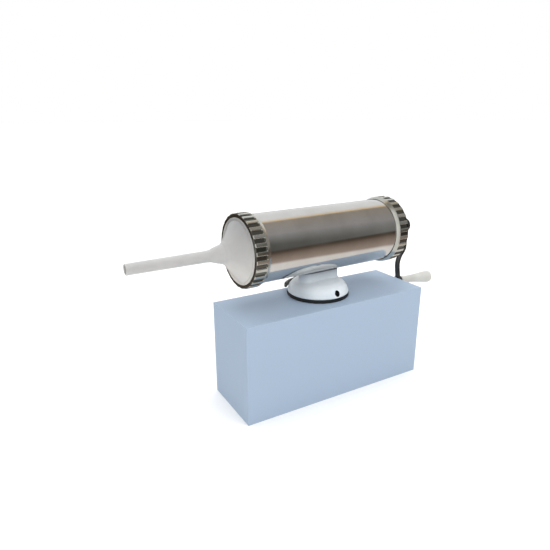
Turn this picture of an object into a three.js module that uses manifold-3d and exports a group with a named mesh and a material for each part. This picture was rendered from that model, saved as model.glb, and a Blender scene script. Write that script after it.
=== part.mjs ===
// Horizontal hand-cranked sausage stuffer on a suction foot.
// Units are millimetres, +Z is up, +X runs along the barrel from the spout to the crank.
// The origin is the centre of the suction foot's underside.
import * as THREE from 'three';
import * as BufferGeometryUtils from 'three/addons/utils/BufferGeometryUtils.js';
import Module from 'manifold-3d';

const wasm = await Module();
wasm.setup();

// ---- driving dimensions -------------------------------------------------
const AXIS_Z = 78.5;            // barrel axis above the foot's underside
const GAP = 0.3;                // clearance between touching pieces

const TUBE_RO = 44.0;           // barrel outer radius
const TUBE_RI = 42.3;           // barrel bore radius
const TUBE_X0 = -116.0;         // barrel front end
const TUBE_X1 = 113.1;          // barrel rear end

const NUT_R = 47.4;             // ring nut outer radius over the lobes
const NUT_LIP_R = 42.6;         // ring nut lip inner radius
const NUT_LEN = 21.0;           // ring nut length
const NUT_LIP_T = 3.0;          // ring nut lip thickness
const NUT_BORE_R = TUBE_RO + GAP;
const FLUTES = 28;              // scallops round each ring nut
const FLUTE_CUT_R = 3.6;
const FLUTE_PITCH_R = 49.4;
const FLUTE_LEN = 15.4;
const FLUTE_PHASE = 24;         // degrees from +Z towards -Y
const FRONT_NUT_X = -124.3;     // front face of the front ring nut
const REAR_NUT_X = 121.4;       // rear face of the rear ring nut

const FLANGE_R = 44.0;          // funnel and cover flange radius
const FLANGE_T = 3.0;
const GASKET_T = 1.4;
const SPOUT_TIP_X = -263.0;
const SPOUT_TIP_RO = 6.5;
const SPOUT_TIP_RI = 5.2;

const BOSS_X1 = 148.0;          // rear end of the cover boss
const BOSS_R = 14.0;
const BUSH_RO = 10.7;
const SPINDLE_R = 8.0;          // spindle thread major radius
const JOURNAL_R = 5.0;          // spindle nose inside the piston
const PISTON_X0 = -104.0;       // piston front face
const PISTON_R = 41.0;
const SEAL_R = 42.0;

const EYE_X0 = 158.5;           // crank eye on the spindle
const EYE_X1 = 165.0;
const EYE_R = 10.0;
const ARM_R = 3.8;              // crank rod radius
const GRIP_POS = [157.3, 0, -88.3];   // grip pivot, from the barrel axis
const GRIP_TILT = 4.6;          // degrees, grip axis droops outwards
const AXLE_R = 3.0;

const FOOT_R = 42.6;            // casting rim radius
const CUP_R = 43.2;             // rubber cup radius
const CUP_T = 4.3;
const WEB_HL = 30.0;            // pedestal web half length
const WEB_HW = 13.5;            // pedestal web half width
const SHAFT_Z = 10.9;           // lever shaft height
const SHAFT_R = 3.5;
const SHAFT_TURN = 3.0;         // degrees, shaft direction from +Y towards -X
const CAM_E = 1.4;              // eccentric throw
const CAM_R = 2.1;
const CAM_START = 35;           // degrees from -Z towards -X
const LEVER_R0 = 44.1;          // the lever curves round the dome between these radii
const LEVER_R1 = 48.2;
const LEVER_SWEEP = 46;         // degrees round the dome
const LEVER_Z0 = 4.8;
const LEVER_Z1 = 12.4;
const RIVETS = [[20, 6], [20, -6], [-20, 6], [-20, -6]];

const rad = (d) => d * Math.PI / 180;

// ---- helpers ------------------------------------------------------------
// Merges shared vertices, drops empty triangles and turns the faces outwards.
function clean(geometry) {
  const g = geometry.index ? geometry.toNonIndexed() : geometry.clone();
  g.deleteAttribute('normal');
  g.deleteAttribute('uv');
  const m = BufferGeometryUtils.mergeVertices(g, 1e-4);
  const p = m.attributes.position;
  const idx = m.index.array;
  const out = [];
  let volume = 0;
  const a = new THREE.Vector3(), b = new THREE.Vector3(), c = new THREE.Vector3();
  for (let i = 0; i < idx.length; i += 3) {
    const [u, v, w] = [idx[i], idx[i + 1], idx[i + 2]];
    if (u === v || v === w || u === w) continue;
    a.fromBufferAttribute(p, u); b.fromBufferAttribute(p, v); c.fromBufferAttribute(p, w);
    volume += a.dot(b.clone().cross(c));
    out.push(u, v, w);
  }
  if (volume < 0) for (let i = 0; i < out.length; i += 3) [out[i + 1], out[i + 2]] = [out[i + 2], out[i + 1]];
  m.setIndex(out);
  return m;
}
function solid(geometry) {
  const g = clean(geometry);
  return new wasm.Manifold(new wasm.Mesh({
    numProp: 3,
    vertProperties: new Float32Array(g.attributes.position.array),
    triVerts: new Uint32Array(g.index.array),
  }));
}
function geometryOf(manifold) {
  const m = manifold.getMesh();
  const g = new THREE.BufferGeometry();
  g.setAttribute('position', new THREE.BufferAttribute(new Float32Array(m.vertProperties), 3));
  g.setIndex(new THREE.BufferAttribute(new Uint32Array(m.triVerts), 1));
  return g;
}
// Solid of revolution about X from [radius, x] points.
function turned(points, segments, closed = true) {
  const v = points.map(([r, x]) => new THREE.Vector2(r, x));
  if (closed) v.push(v[0].clone());
  const g = new THREE.LatheGeometry(v, segments);
  g.rotateZ(-Math.PI / 2);
  return clean(g);
}
// Solid of revolution about Z from [radius, z] points.
function turnedZ(points, segments, closed = true) {
  const v = points.map(([r, z]) => new THREE.Vector2(r, z));
  if (closed) v.push(v[0].clone());
  const g = new THREE.LatheGeometry(v, segments);
  g.rotateX(Math.PI / 2);
  return clean(g);
}
function rodX(r, x0, x1, segments) {
  const g = new THREE.CylinderGeometry(r, r, x1 - x0, segments);
  g.rotateZ(-Math.PI / 2);
  g.translate((x0 + x1) / 2, 0, 0);
  return g;
}
function rodY(r, y0, y1, segments, x = 0, z = 0) {
  const g = new THREE.CylinderGeometry(r, r, y1 - y0, segments);
  g.translate(x, (y0 + y1) / 2, z);
  return g;
}
function rodZ(r, z0, z1, segments, x = 0, y = 0, rTop = r) {
  const g = new THREE.CylinderGeometry(rTop, r, z1 - z0, segments);
  g.rotateX(Math.PI / 2);
  g.translate(x, y, (z0 + z1) / 2);
  return g;
}
function box(x0, x1, y0, y1, z0, z1) {
  const g = new THREE.BoxGeometry(x1 - x0, y1 - y0, z1 - z0);
  g.translate((x0 + x1) / 2, (y0 + y1) / 2, (z0 + z1) / 2);
  return g;
}

const MATERIALS = {
  stainless: { color: 0xb9b6b0, roughness: 0.18, metalness: 1.0 },
  nut_alloy: { color: 0x8d8c89, roughness: 0.3, metalness: 1.0 },
  spout_plastic: { color: 0xcfd0cc, roughness: 0.45, metalness: 0.0 },
  cast_paint: { color: 0xc6cdd2, roughness: 0.42, metalness: 0.1 },
  rubber: { color: 0x141414, roughness: 0.75, metalness: 0.0 },
  seal_rubber: { color: 0xd8d2c4, roughness: 0.7, metalness: 0.0 },
  cover_plastic: { color: 0xdedcd4, roughness: 0.5, metalness: 0.0 },
  dark_steel: { color: 0x4a4b4c, roughness: 0.4, metalness: 1.0 },
  zinc_steel: { color: 0x9a9b9a, roughness: 0.35, metalness: 1.0 },
  bronze: { color: 0xa5834f, roughness: 0.4, metalness: 1.0 },
  grip_plastic: { color: 0xdcd7ca, roughness: 0.5, metalness: 0.0 },
};
function piece(name, material, geometry) {
  const mesh = new THREE.Mesh(geometry, new THREE.MeshStandardMaterial(MATERIALS[material]));
  mesh.name = name;
  return mesh;
}

const stuffer = new THREE.Group();
const barrel = new THREE.Group();       // everything on the barrel axis
barrel.position.set(0, 0, AXIS_Z);
const lever = new THREE.Group();        // everything on the lever shaft axis
lever.rotation.z = rad(SHAFT_TURN);
stuffer.add(barrel, lever);

// ---- barrel -------------------------------------------------------------
let tube = solid(turned([[TUBE_RI, TUBE_X0], [TUBE_RO, TUBE_X0], [TUBE_RO, TUBE_X1], [TUBE_RI, TUBE_X1]], 48));
for (const [x, y] of RIVETS) {
  tube = tube.subtract(solid(rodZ(2.5, -50, -38, 16, x, y)));
  tube = tube.subtract(solid(rodZ(2.4, -43.7, -41.0, 16, x, y, 5.4)));
}
barrel.add(piece('barrel_tube', 'stainless', geometryOf(tube)));

// ---- ring nuts ----------------------------------------------------------
// Local profile: x = 0 at the outer face, growing towards the open thread end.
function ringNut() {
  const profile = [
    [NUT_LIP_R, 0], [NUT_R - 0.8, 0], [NUT_R, 0.8], [NUT_R, 15.8],
    [NUT_BORE_R + 0.6, NUT_LEN], [NUT_BORE_R, NUT_LEN], [NUT_BORE_R, NUT_LIP_T], [NUT_LIP_R, NUT_LIP_T],
  ];
  let ring = solid(turned(profile, 42));
  const cutters = [];
  for (let i = 0; i < FLUTES; i++) {
    const t = rad(FLUTE_PHASE + i * 360 / FLUTES);
    const g = rodX(FLUTE_CUT_R, -1, FLUTE_LEN, 6);
    g.translate(0, -FLUTE_PITCH_R * Math.sin(t), FLUTE_PITCH_R * Math.cos(t));
    cutters.push(solid(g));
  }
  for (const c of cutters) ring = ring.subtract(c);
  return geometryOf(ring);
}
const frontNut = piece('front_ring_nut', 'nut_alloy', ringNut());
frontNut.position.x = FRONT_NUT_X;
const rearNut = piece('rear_ring_nut', 'nut_alloy', ringNut());
rearNut.position.x = REAR_NUT_X;
rearNut.rotation.z = Math.PI;
barrel.add(frontNut, rearNut);

// ---- stuffing funnel and its gasket --------------------------------------
const FUN_X = TUBE_X0 - GASKET_T - 2 * GAP;     // rear face of the funnel flange
barrel.add(piece('stuffing_funnel', 'spout_plastic', turned([
  [39.5, FUN_X], [FLANGE_R, FUN_X], [FLANGE_R, FUN_X - FLANGE_T], [42.2, FUN_X - FLANGE_T],
  [42.2, -124.2], [41.7, -124.7], [39.0, -124.9], [15.5, -142.0], [12.2, -146.2], [11.0, -151.5], [9.4, -156.8], [7.7, -161.5], [7.1, -166.0],
  [SPOUT_TIP_RO, SPOUT_TIP_X], [SPOUT_TIP_RI, SPOUT_TIP_X], [5.6, -166.0], [6.1, -161.8], [7.7, -157.0], [9.3, -151.8], [10.5, -146.6],
  [13.6, -141.3], [37.5, -122.3],
], 32)));
const gasket = (x) => turned([[41.5, x], [43.9, x], [43.9, x + GASKET_T], [41.5, x + GASKET_T]], 32);
barrel.add(piece('front_gasket', 'seal_rubber', gasket(TUBE_X0 - GASKET_T - GAP)));
barrel.add(piece('rear_gasket', 'seal_rubber', gasket(TUBE_X1 + GAP)));

// ---- rear cover and threaded bush -----------------------------------------
const COV_X = TUBE_X1 + GASKET_T + 2 * GAP;     // front face of the cover flange
barrel.add(piece('rear_cover', 'cover_plastic', turned([
  [39.5, COV_X], [FLANGE_R, COV_X], [FLANGE_R, COV_X + FLANGE_T], [42.2, COV_X + FLANGE_T],
  [42.2, 121.8], [41.0, 122.6], [17.5, 133.0], [BOSS_R, 136.5], [BOSS_R, BOSS_X1 - 1], [BOSS_R - 1, BOSS_X1],
  [11.0, BOSS_X1], [11.0, 129.5], [15.0, 129.5], [38.0, 119.0],
], 32)));
barrel.add(piece('spindle_bush', 'bronze', turned([
  [8.35, 125.7], [14.2, 125.7], [14.2, 129.2], [BUSH_RO, 129.2], [BUSH_RO, BOSS_X1 + 0.3], [8.35, BOSS_X1 + 0.3],
], 32)));

// ---- piston ---------------------------------------------------------------
barrel.add(piece('piston', 'cover_plastic', turned([
  [JOURNAL_R + GAP, PISTON_X0], [PISTON_R, PISTON_X0], [PISTON_R, -100], [38.2, -100], [38.2, -96], [PISTON_R, -96],
  [PISTON_R, -90], [14, -88], [14, -80], [JOURNAL_R + GAP, -80],
], 40)));
barrel.add(piece('piston_seal', 'seal_rubber', turned([
  [38.5, -99.7], [41.3, -99.7], [SEAL_R, -98.0], [41.3, -96.3], [38.5, -96.3],
], 40)));
barrel.add(piece('piston_washer', 'zinc_steel', turned([[3.4, -106.1], [10, -106.1], [10, -104.4], [3.4, -104.4]], 24)));
barrel.add(piece('piston_screw', 'zinc_steel',
  geometryOf(solid(rodX(3.0, -108, -90.6, 16)).add(solid(rodX(6.0, -110.4, -106.5, 6))))));

// ---- spindle ----------------------------------------------------------------
barrel.add(piece('spindle', 'zinc_steel', turned([
  [0, -90], [3.3, -90], [3.3, PISTON_X0], [JOURNAL_R, PISTON_X0], [JOURNAL_R, -79.7], [SPINDLE_R, -79.7],
  [SPINDLE_R, 149.0], [9.5, 149.0], [9.5, 158.1], [5.5, 158.1], [5.5, 165.3], [4.0, 165.3], [4.0, 168.0], [0, 168.0],
], 24, false)));

// ---- crank ----------------------------------------------------------------
const armCurve = new THREE.CatmullRomCurve3([
  [161.0, 0, -2], [163.8, 0, -16], [165.2, 0, -31], [163.5, 0, -39.5], [157.6, 0, -47.5], [154.3, 0, -56],
  [153.9, 0, -64.5], [155.8, 0, -78], [157.2, 0, -85.5],
].map((p) => new THREE.Vector3(...p)));
const rodShape = new THREE.Shape();
rodShape.absarc(0, 0, ARM_R, 0, Math.PI * 2, false);
let arm = solid(new THREE.ExtrudeGeometry(rodShape, { extrudePath: armCurve, steps: 22, curveSegments: 4 }));
arm = arm.add(solid(rodX(EYE_R, EYE_X0, EYE_X1, 32)));
const lowerEye = rodX(7.0, -4, 4, 24);
lowerEye.rotateY(rad(GRIP_TILT));
lowerEye.translate(...GRIP_POS);
arm = arm.add(solid(lowerEye));
const lowerBore = rodX(AXLE_R + GAP, -12, 12, 20);
lowerBore.rotateY(rad(GRIP_TILT));
lowerBore.translate(...GRIP_POS);
arm = arm.subtract(solid(lowerBore)).subtract(solid(rodX(5.8, 150, 175, 24)));
arm = arm.subtract(solid(rodX(7.4, EYE_X1, 175, 24)));      // flat seat under the nut
arm = arm.subtract(solid(rodX(10.2, 150, EYE_X0, 24)));     // flat face against the spindle shoulder
barrel.add(piece('crank_arm', 'dark_steel', geometryOf(arm)));

let crankNut = solid(rodX(6.6, 165.6, 168.2, 6)).add(solid(turned([
  [0, 167.4], [5.4, 167.4], [5.2, 168.6], [3.6, 169.4], [0, 169.8],
], 20, false)));
crankNut = crankNut.subtract(solid(rodX(4.3, 163, 168.4, 20)));
barrel.add(piece('crank_nut', 'zinc_steel', geometryOf(crankNut)));

const grip = new THREE.Group();
grip.position.set(...GRIP_POS);
grip.rotation.y = rad(GRIP_TILT);
barrel.add(grip);
grip.add(piece('grip', 'grip_plastic', turned([
  [AXLE_R + 0.4, 4.6], [5.4, 4.6], [6.2, 6.0], [6.2, 9.0], [5.6, 12], [5.6, 20], [6.1, 30], [7.4, 45], [8.8, 58],
  [9.3, 64], [9.2, 67], [8.4, 68.6], [7.4, 69.0], [5.7, 69.0], [5.7, 61.9], [AXLE_R + 0.4, 61.9],
], 24)));
grip.add(piece('grip_axle', 'zinc_steel',
  turned([[0, -8.2], [4.6, -8.2], [5.8, -7.1], [5.8, -5.3], [AXLE_R, -5.3], [AXLE_R, 66.5], [0, 66.5]], 24, false)));
grip.add(piece('grip_nut', 'zinc_steel',
  geometryOf(solid(rodX(5.0, 62.3, 66.3, 6)).subtract(solid(rodX(AXLE_R + GAP, 60, 70, 20))))));

// ---- foot casting -----------------------------------------------------------
const stadium = new THREE.Shape();
stadium.absarc(WEB_HL - WEB_HW, 0, WEB_HW, -Math.PI / 2, Math.PI / 2, false);
stadium.absarc(-(WEB_HL - WEB_HW), 0, WEB_HW, Math.PI / 2, Math.PI * 1.5, false);
const WEB_LEVELS = [[16, 35, 22], [18.5, 33.2, 18.4], [21, 31.6, 15.9], [24, 30.5, 14.2], [28, WEB_HL, WEB_HW], [46, WEB_HL, WEB_HW]];
const web = new THREE.ExtrudeGeometry(stadium, { depth: 1, steps: WEB_LEVELS.length - 1, bevelEnabled: false, curveSegments: 6 });
{
  const p = web.attributes.position;
  for (let i = 0; i < p.count; i++) {
    const [z, hl, hw] = WEB_LEVELS[Math.round(p.getZ(i) * (WEB_LEVELS.length - 1))];
    p.setXYZ(i, p.getX(i) * hl / WEB_HL, p.getY(i) * hw / WEB_HW, z);
  }
}
let foot = solid(turnedZ([
  [0, 4.6], [FOOT_R, 4.6], [FOOT_R, 7.0], [41.8, 9.0], [40.2, 12.8], [36.2, 17.4], [30.0, 21.2], [22.0, 23.2], [0, 24.0],
], 40, false)).add(solid(web));
const cavity = solid(turnedZ([[0, 3], [38.4, 3], [38.2, 8], [36.4, 11.5], [32.6, 15], [26.5, 18.0], [18, 19.5], [0, 20]], 32, false));
const turnShaft = (g) => { g.rotateZ(rad(SHAFT_TURN)); return g; };
const bosses = solid(turnShaft(rodY(6.0, -50, -25, 20, 0, SHAFT_Z))).add(solid(turnShaft(rodY(6.0, 25, 50, 20, 0, SHAFT_Z))));
foot = foot.subtract(cavity.subtract(bosses));
foot = foot.subtract(solid(turnShaft(rodY(SHAFT_R + 0.35, -60, 60, 20, 0, SHAFT_Z))));
const barrelCut = rodX(TUBE_RO + GAP, -80, 80, 48);
barrelCut.translate(0, 0, AXIS_Z);
foot = foot.subtract(solid(barrelCut));
for (const [x, y] of RIVETS) foot = foot.subtract(solid(rodZ(2.5, 26, 50, 16, x, y)));
stuffer.add(piece('foot_casting', 'cast_paint', geometryOf(foot)));

RIVETS.forEach(([x, y], i) => {
  let rivet = solid(rodZ(2.2, 26.4, 36.6, 16, x, y)).add(solid(rodZ(2.1, 35.1, 37.5, 16, x, y, 4.6)));
  const bore = rodX(TUBE_RI + GAP, -60, 60, 48);
  bore.translate(0, 0, AXIS_Z);
  rivet = rivet.subtract(solid(bore));
  stuffer.add(piece(`saddle_rivet_${i + 1}`, 'zinc_steel', geometryOf(rivet)));
});

// ---- suction cup and its lifting stud -----------------------------------------
stuffer.add(piece('suction_cup', 'rubber', turnedZ([
  [0, 0], [CUP_R - 0.4, 0], [CUP_R, 0.5], [CUP_R, CUP_T - 0.7], [CUP_R - 0.7, CUP_T], [9.5, CUP_T], [9.5, 2.0], [0, 2.0],
], 40, false)));
lever.add(piece('cup_plate', 'zinc_steel', turnedZ([[2.4, 2.3], [9.0, 2.3], [9.0, 3.8], [2.4, 3.8]], 20)));
const camX = -CAM_E * Math.sin(rad(CAM_START));
const camZ = SHAFT_Z - CAM_E * Math.cos(rad(CAM_START));
let stud = solid(rodZ(2.0, 2.5, 6, 16)).add(solid(rodZ(3.8, 4.1, 6.5, 20))).add(solid(box(-6.6, 4.6, -3.4, 3.4, 5.2, camZ + 5.2)));
const slot = box(-1.1 - 2.85, -1.1 + 2.85, -6, 6, camZ - 2.55, camZ + 2.55);
stud = stud.subtract(solid(slot));
lever.add(piece('cup_stud', 'zinc_steel', geometryOf(stud)));

// ---- lever shaft, lever, pin and clip -------------------------------------------
let shaft = solid(rodY(SHAFT_R, -34.0, -4.4, 20, 0, SHAFT_Z)).add(solid(rodY(SHAFT_R, 4.4, 49.0, 20, 0, SHAFT_Z)));
shaft = shaft.add(solid(rodY(CAM_R, -5.4, 5.4, 20, camX, camZ)));
shaft = shaft.subtract(solid(rodY(5, -24.9, -23.3, 20, 0, SHAFT_Z)).subtract(solid(rodY(2.6, -26, -22, 20, 0, SHAFT_Z))));
shaft = shaft.subtract(solid(rodZ(1.55, 0, 25, 12, 0, 46.3)));
lever.add(piece('lever_shaft', 'zinc_steel', geometryOf(shaft)));

// the lever is a band curved round the dome, cut to its sweep, with a hub on the shaft
const band = turnedZ([[LEVER_R0, LEVER_Z0], [LEVER_R1, LEVER_Z0], [LEVER_R1, LEVER_Z1], [LEVER_R0, LEVER_Z1]], 72);
const sectorShape = new THREE.Shape();
sectorShape.moveTo(0, 0);
sectorShape.lineTo(80 * Math.cos(rad(90)), 80 * Math.sin(rad(90)));
sectorShape.lineTo(80 * Math.cos(rad(90 + LEVER_SWEEP)), 80 * Math.sin(rad(90 + LEVER_SWEEP)));
const sector = new THREE.ExtrudeGeometry(sectorShape, { depth: 30, bevelEnabled: false });
let leverBar = solid(band).intersect(solid(sector)).add(solid(rodY(6.4, 43.5, 48.6, 28, 0, SHAFT_Z)));
leverBar = leverBar.subtract(solid(rodY(SHAFT_R + GAP, 30, 60, 20, 0, SHAFT_Z)));
leverBar = leverBar.subtract(solid(rodZ(1.55, 0, 25, 12, 0, 46.3)));
lever.add(piece('lever', 'zinc_steel', geometryOf(leverBar)));
lever.add(piece('lever_pin', 'zinc_steel', rodZ(1.25, SHAFT_Z - 5.8, SHAFT_Z + 5.8, 12, 0, 46.3)));

const clipShape = new THREE.Shape();
clipShape.absarc(0, 0, 5.8, rad(-240), rad(60), false);
clipShape.absarc(0, 0, 2.95, rad(60), rad(-240), true);
const clip = new THREE.ExtrudeGeometry(clipShape, { depth: 1.0, bevelEnabled: false, curveSegments: 14 });
clip.rotateX(Math.PI / 2);
clip.translate(0, -23.6, SHAFT_Z);
lever.add(piece('shaft_clip', 'zinc_steel', clean(clip)));

export default stuffer;
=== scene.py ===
"""Looks of a horizontal hand-cranked sausage stuffer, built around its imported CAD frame.

Lengths inside the shape helpers are millimetres in the row frame; objects are made in metres.
"""
import math

import bmesh
import bpy
import numpy as np
from mathutils import Matrix, Vector


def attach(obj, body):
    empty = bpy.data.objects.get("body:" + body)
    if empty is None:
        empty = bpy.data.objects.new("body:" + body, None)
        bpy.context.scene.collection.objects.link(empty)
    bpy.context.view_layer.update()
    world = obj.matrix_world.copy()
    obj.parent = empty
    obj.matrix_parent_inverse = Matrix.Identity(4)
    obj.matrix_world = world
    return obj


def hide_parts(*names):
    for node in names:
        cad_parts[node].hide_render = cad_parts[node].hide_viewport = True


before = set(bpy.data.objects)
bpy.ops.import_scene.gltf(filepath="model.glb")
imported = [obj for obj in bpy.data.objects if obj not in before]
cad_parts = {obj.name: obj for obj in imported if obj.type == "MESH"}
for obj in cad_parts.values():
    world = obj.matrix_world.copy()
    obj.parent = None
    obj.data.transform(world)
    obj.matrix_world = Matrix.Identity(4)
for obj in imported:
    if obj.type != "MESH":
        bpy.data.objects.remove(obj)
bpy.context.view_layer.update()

MM = 0.001
AZ = 78.5            # barrel axis height
rad = math.radians


# ------------------------------------------------------------------ mesh helpers
def make(name, verts, faces, smooth=True, sharp_deg=35.0):
    """A mesh object from millimetre points, faces turned outwards."""
    me = bpy.data.meshes.new(name)
    me.from_pydata([tuple(float(c) * MM for c in v) for v in verts], [], [tuple(int(i) for i in f) for f in faces])
    bm = bmesh.new()
    bm.from_mesh(me)
    bmesh.ops.remove_doubles(bm, verts=bm.verts, dist=1e-7)
    bmesh.ops.dissolve_degenerate(bm, edges=bm.edges, dist=1e-8)
    bmesh.ops.recalc_face_normals(bm, faces=bm.faces)
    if bm.calc_volume(signed=True) < 0:
        bmesh.ops.reverse_faces(bm, faces=bm.faces)
    bm.to_mesh(me)
    bm.free()
    ob = bpy.data.objects.new(name, me)
    bpy.context.scene.collection.objects.link(ob)
    if smooth:
        shade(ob, sharp_deg)
    return ob


def shade(ob, sharp_deg=35.0):
    """Smooth faces, with edges over the angle kept sharp."""
    me = ob.data
    bm = bmesh.new()
    bm.from_mesh(me)
    lim = rad(sharp_deg)
    for f in bm.faces:
        f.smooth = True
    for e in bm.edges:
        e.smooth = not (len(e.link_faces) == 2 and e.calc_face_angle(0.0) > lim)
    bm.to_mesh(me)
    bm.free()


def rounded(pts, r=0.3, n=3, closed=True):
    """Rounds every corner of a profile by up to r."""
    pts = [np.array(p, float) for p in pts]
    out = []
    m = len(pts)
    for i, p in enumerate(pts):
        if not closed and i in (0, m - 1):
            out.append(p)
            continue
        a, b = pts[(i - 1) % m] - p, pts[(i + 1) % m] - p
        la, lb = np.linalg.norm(a), np.linalg.norm(b)
        d = min(r, 0.42 * la, 0.42 * lb)
        cosang = float(a @ b / (la * lb))
        if cosang < -0.985 or d < 0.02:
            out.append(p)
            continue
        s, e = p + a / la * d, p + b / lb * d
        for k in range(n + 1):
            t = k / n
            out.append((1 - t) ** 2 * s + 2 * t * (1 - t) * p + t * t * e)
    return out


def dense(pts, step, closed=True):
    """Adds points so that no profile edge is longer than step."""
    out = []
    m = len(pts)
    for i in range(m if closed else m - 1):
        a, b = np.array(pts[i], float), np.array(pts[(i + 1) % m], float)
        k = max(1, int(math.ceil(np.linalg.norm(b - a) / step)))
        for j in range(k):
            out.append(a + (b - a) * j / k)
    if not closed:
        out.append(np.array(pts[-1], float))
    return out


def revolve(name, pts, segs, axis="x", centre=(0, 0, AZ), closed=True, shape=None, sharp=35.0):
    """Solid of revolution from (radius, along) points. shape(theta, r, a) may return a changed (r, a)."""
    pts = [np.array(p, float) for p in pts]
    n, m = segs, len(pts)
    th = np.linspace(0, 2 * math.pi, n, endpoint=False)
    R = np.array([p[0] for p in pts])[None, :].repeat(n, 0)
    A = np.array([p[1] for p in pts])[None, :].repeat(n, 0)
    T = th[:, None].repeat(m, 1)
    if shape is not None:
        R, A = shape(T, R, A)
    if axis == "x":          # theta from +Z towards -Y
        X, Y, Z = A, -R * np.sin(T), R * np.cos(T)
    else:
        X, Y, Z = R * np.cos(T), R * np.sin(T), A
    V = np.stack([X + centre[0], Y + centre[1], Z + centre[2]], 2).reshape(-1, 3)
    F = []
    rows = m if closed else m - 1
    for i in range(n):
        i2 = (i + 1) % n
        for j in range(rows):
            j2 = (j + 1) % m
            F.append((i * m + j, i2 * m + j, i2 * m + j2, i * m + j2))
    return make(name, V, F, sharp_deg=sharp)


def join(name, obs):
    base = obs[0]
    for o in obs[1:]:
        mod = base.modifiers.new("u", "BOOLEAN")
        mod.operation, mod.solver, mod.object = "UNION", "EXACT", o
        apply(base)
        bpy.data.objects.remove(o)
    base.name = name
    base.data.name = name
    return base


def cut(base, obs):
    for o in obs:
        mod = base.modifiers.new("c", "BOOLEAN")
        mod.operation, mod.solver, mod.object = "DIFFERENCE", "EXACT", o
        apply(base)
        bpy.data.objects.remove(o)
    return base


def apply(ob):
    """Bakes the modifiers into the mesh."""
    dg = bpy.context.evaluated_depsgraph_get()
    dg.update()
    me = bpy.data.meshes.new_from_object(ob.evaluated_get(dg))
    ob.modifiers.clear()
    old = ob.data
    ob.data = me
    bpy.data.meshes.remove(old)
    return ob


def remesh(ob, voxel_mm):
    mod = ob.modifiers.new("r", "REMESH")
    mod.mode, mod.voxel_size, mod.use_smooth_shade = "VOXEL", voxel_mm * MM, True
    return apply(ob)


def relax(ob, rounds, weight=None, factor=0.5):
    """Laplacian smoothing in numpy; weight(points_mm) gives each point's share of the move."""
    me = ob.data
    nv = len(me.vertices)
    co = np.empty(nv * 3)
    me.vertices.foreach_get("co", co)
    co = co.reshape(-1, 3)
    ed = np.empty(len(me.edges) * 2, int)
    me.edges.foreach_get("vertices", ed)
    ed = ed.reshape(-1, 2)
    deg = np.bincount(ed.ravel(), minlength=nv)[:, None]
    w = np.ones((nv, 1)) if weight is None else weight(co / MM)[:, None]
    for _ in range(rounds):
        s = np.zeros_like(co)
        np.add.at(s, ed[:, 0], co[ed[:, 1]])
        np.add.at(s, ed[:, 1], co[ed[:, 0]])
        co = co + factor * w * (s / np.maximum(deg, 1) - co)
    me.vertices.foreach_set("co", co.ravel())
    me.update()
    return ob


def place(ob, m):
    ob.data.transform(m)
    return ob


def cyl(name, r, a0, a1, segs=48, axis="x", centre=(0, 0, AZ)):
    return revolve(name, [(0, a0), (r, a0), (r, a1), (0, a1)], segs, axis, centre, closed=False)


def bevelled(name, outline, depth, bevel=0.35, segs=3):
    """Prism of a 2-D outline in XZ, depth along +Y, with rounded edges."""
    n = len(outline)
    V = [(x, 0, z) for x, z in outline] + [(x, depth, z) for x, z in outline]
    F = [tuple(range(n)), tuple(range(2 * n - 1, n - 1, -1))]
    F += [(i, (i + 1) % n, (i + 1) % n + n, i + n) for i in range(n)]
    ob = make(name, V, F, smooth=False)
    if bevel:
        mod = ob.modifiers.new("b", "BEVEL")
        mod.width, mod.segments, mod.limit_method, mod.angle_limit = bevel * MM, segs, "ANGLE", rad(40)
        apply(ob)
    shade(ob, 40)
    return ob


# ------------------------------------------------------------------ materials
def srgb(r, g, b):
    f = lambda c: c / 12.92 if c <= 0.04045 else ((c + 0.055) / 1.055) ** 2.4
    return (f(r), f(g), f(b), 1.0)


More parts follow.
